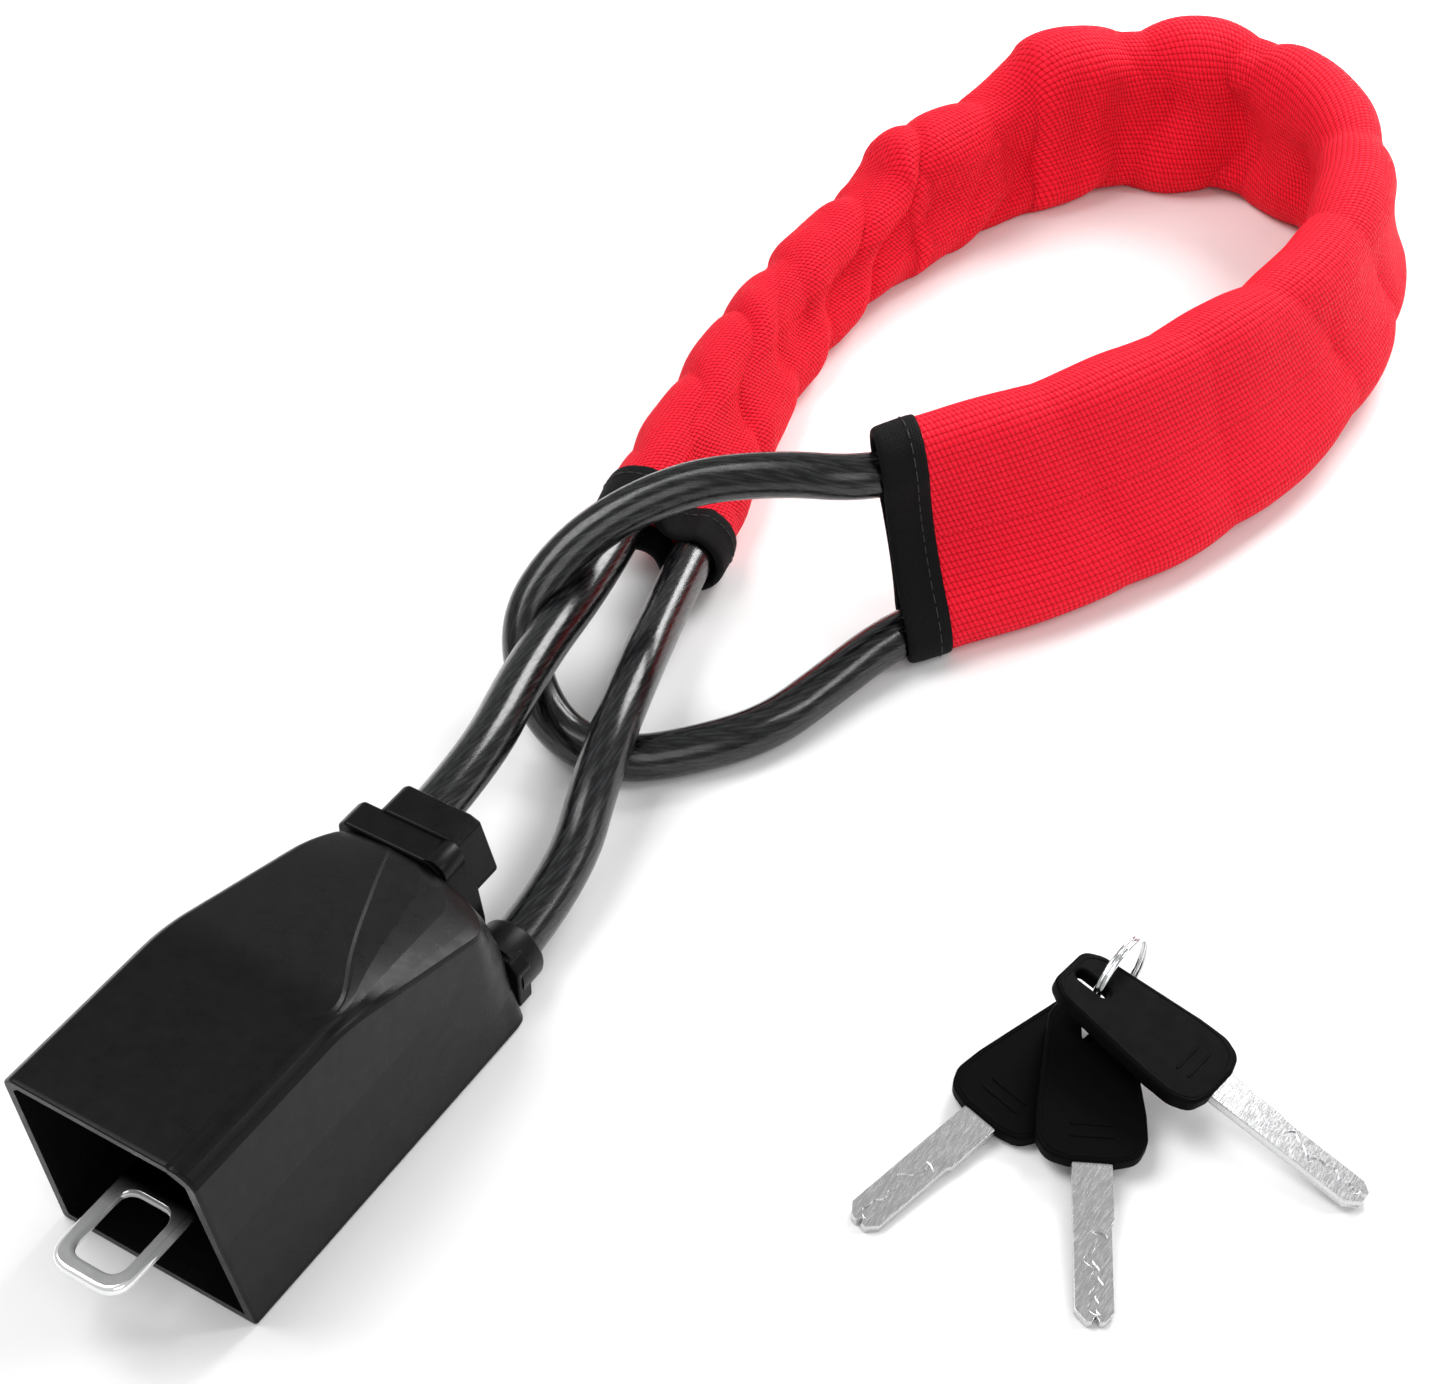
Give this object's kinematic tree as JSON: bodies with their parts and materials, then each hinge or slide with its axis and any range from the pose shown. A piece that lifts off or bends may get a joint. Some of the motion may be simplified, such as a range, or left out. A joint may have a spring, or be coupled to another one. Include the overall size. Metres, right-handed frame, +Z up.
{
  "type": "seat belt cable lock",
  "caption": "Anti-theft lock: moulded hood over a steel latch tongue, looped covered steel cable in a woven sleeve, key cylinder and flat keys on a split ring.",
  "frame": {"origin": "middle of the hood's resting face, on the surface it lies on", "axes": "+X from the hood's open mouth to the end where the cable leaves, +Y to the left, +Z up"},
  "size_m": [0.532, 0.2755, 0.0602],
  "materials": {
    "hood": "satin black moulded plastic with a fine grain",
    "screws": "zinc plated",
    "core": "die-cast zinc, as cast",
    "tongue": "bright chrome plate over stamped steel",
    "rivets": "plain steel",
    "ferrules": "crimped",
    "plunger": "turned",
    "rod": "turned",
    "foot": "moulded",
    "barrel": "nickel plated face",
    "wafers": "stamped",
    "bolt": "hardened",
    "cable_cover": "smoky see-through vinyl",
    "cable_rope": "twisted bright wire",
    "sleeve": "red plain-weave nylon",
    "binding": "black stitched tape",
    "key_head": "moulded",
    "key_blade": "nickel silver with milled tracks",
    "ring": "bright spring wire"
  },
  "bodies": {
    "lock_head": {"hood_shell": "hood", "housing_screws": "screws", "cap_screws": "screws", "rear_cap": "hood", "cable_collar": "hood", "lock_core": "core", "latch_tongue": "tongue", "tongue_rivets": "rivets", "ferrule_upper": "ferrules", "ferrule_lower": "ferrules", "ferrule_screw": "screws", "return_spring": "rod", "cable_cover": "cable_cover", "cable_rope": "cable_rope", "sleeve": "sleeve", "front_binding": "binding", "back_binding": "binding"},
    "plunger": {"plunger_housing": "plunger", "push_rod": "rod", "presser_foot": "foot", "retaining_clip": "rod"},
    "barrel": {"key_barrel": "barrel", "barrel_wafers": "wafers", "drive_pin": "rod"},
    "bolt": {"locking_bolt": "bolt"},
    "ring": {"key_ring": "ring"},
    "key_1": {"key_head_1": "key_head", "key_blade_1": "key_blade"},
    "key_2": {"key_head_2": "key_head", "key_blade_2": "key_blade"},
    "key_3": {"key_head_3": "key_head", "key_blade_3": "key_blade"}
  },
  "joints": [
    {"name": "plunger_push", "type": "slide", "parent": "lock_head", "child": "plunger", "axis": [-1, 0, 0], "range_m": [0, 0.008], "stiffness_N_per_m": 800, "springref_m": -0.004, "deforming": ["return_spring"]},
    {"name": "barrel_turn", "type": "hinge", "parent": "plunger", "child": "barrel", "pos_m": [0.049, 0.002, 0.0115], "axis": [1, 0, 0], "range_deg": [-90, 0]},
    {"name": "bolt_slide", "type": "slide", "parent": "plunger", "child": "bolt", "axis": [0, 1, 0], "range_m": [0, 0.002]},
    {"name": "ring_lift", "type": "slide", "parent": "lock_head", "child": "ring", "axis": [0, 0, 1], "range_m": [0, 0.04]},
    {"name": "key_1_swing", "type": "hinge", "parent": "ring", "child": "key_1", "pos_m": [0.11194, -0.13903, 0.00478], "axis": [-0.0614, -0.0656, 0.996], "range_deg": [-6, 8]},
    {"name": "key_2_swing", "type": "hinge", "parent": "ring", "child": "key_2", "pos_m": [0.10903, -0.14062, 0.00873], "axis": [-0.0675, -0.0832, 0.9942], "range_deg": [-8, 8]},
    {"name": "key_3_swing", "type": "hinge", "parent": "ring", "child": "key_3", "pos_m": [0.11219, -0.13871, 0.01853], "axis": [0.1187, -0.2349, 0.9647], "range_deg": [-8, 8]}
  ],
  "couplings": [
    {"joint": "bolt_slide", "follows": "barrel_turn", "m_per_rad": -0.0012732}
  ]
}
